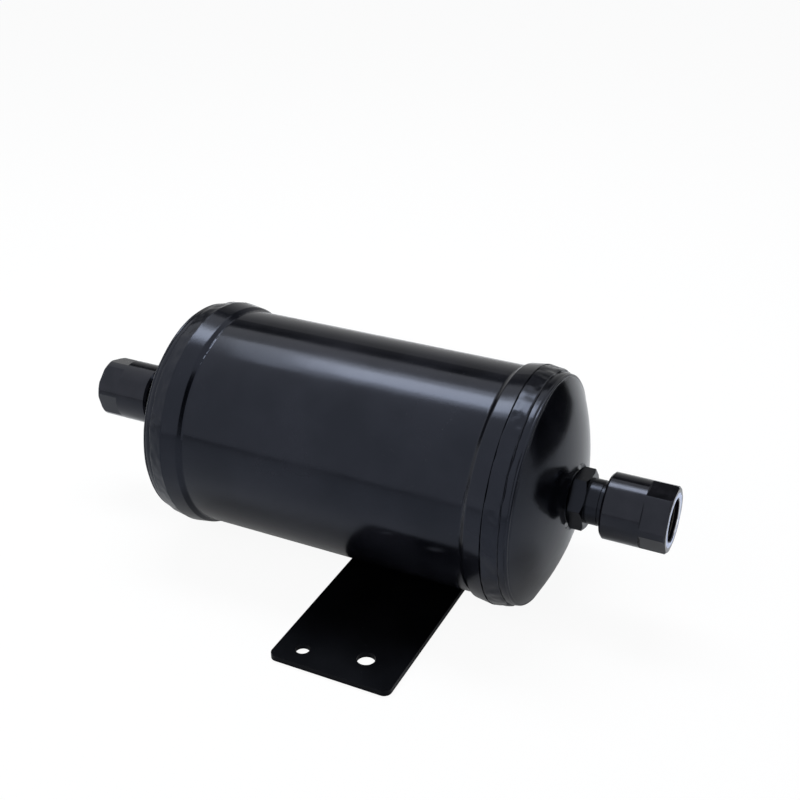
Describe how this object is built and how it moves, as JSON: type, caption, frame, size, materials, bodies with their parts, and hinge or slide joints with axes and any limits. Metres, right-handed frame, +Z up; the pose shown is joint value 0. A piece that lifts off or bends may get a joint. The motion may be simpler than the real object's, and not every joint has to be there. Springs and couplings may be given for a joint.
{
  "type": "receiver drier",
  "caption": "Black steel receiver drier: a belled cylinder with dished ends, a swivel-nut fitting at each end and a flat two-hole mounting plate under the shell.",
  "frame": {"origin": "underside of the mounting plate, straight under the vessel axis and at the middle of the plate's width", "axes": "+X along the vessel towards the outlet fitting, +Z up away from the mounting surface, the plate reaches out towards -Y"},
  "size_m": [0.2484, 0.1287, 0.0935],
  "materials": {
    "shell_paint": "gloss black enamel",
    "cap_paint": "gloss black enamel",
    "plate_paint": "semi-gloss black enamel",
    "weld_bead": "gloss black enamel over a rippled bead",
    "stub_paint": "satin black over turned steel",
    "nut_paint": "satin black over turned steel, bare on the end face",
    "o_ring_rubber": "matt black",
    "spring_steel": "drawn wire",
    "punched_steel": "punched sheet",
    "screen_mesh": "fine woven wire",
    "felt": "pressed fibre",
    "desiccant": "moulded porous block"
  },
  "bodies": {
    "vessel": {"shell": "shell_paint", "inlet_end_cap": "cap_paint", "outlet_end_cap": "cap_paint", "inlet_cap_weld": "weld_bead", "outlet_cap_weld": "weld_bead", "mounting_plate": "plate_paint", "front_plate_weld": "weld_bead", "rear_plate_weld": "weld_bead", "inlet_stub": "stub_paint", "outlet_stub": "stub_paint", "inlet_stub_weld": "weld_bead", "outlet_stub_weld": "weld_bead", "inlet_snap_ring": "spring_steel", "outlet_snap_ring": "spring_steel", "inlet_o_ring": "o_ring_rubber", "outlet_o_ring": "o_ring_rubber", "outlet_support_grid": "punched_steel", "outlet_screen": "screen_mesh", "outlet_felt_pad": "felt", "desiccant_core": "desiccant", "inlet_felt_pad": "felt", "spring_follower_grid": "punched_steel", "pressure_spring": "spring_steel"},
    "inlet_swivel": {"inlet_nut": "nut_paint"},
    "outlet_swivel": {"outlet_nut": "nut_paint"}
  },
  "joints": [
    {"name": "inlet_nut_spin", "type": "hinge", "parent": "vessel", "child": "inlet_swivel", "pos_m": [-0.13627, 0, 0.04675], "axis": [-1, 0, 0], "continuous": true},
    {"name": "outlet_nut_spin", "type": "hinge", "parent": "vessel", "child": "outlet_swivel", "pos_m": [0.08747, 0, 0.04675], "axis": [1, 0, 0], "continuous": true}
  ]
}
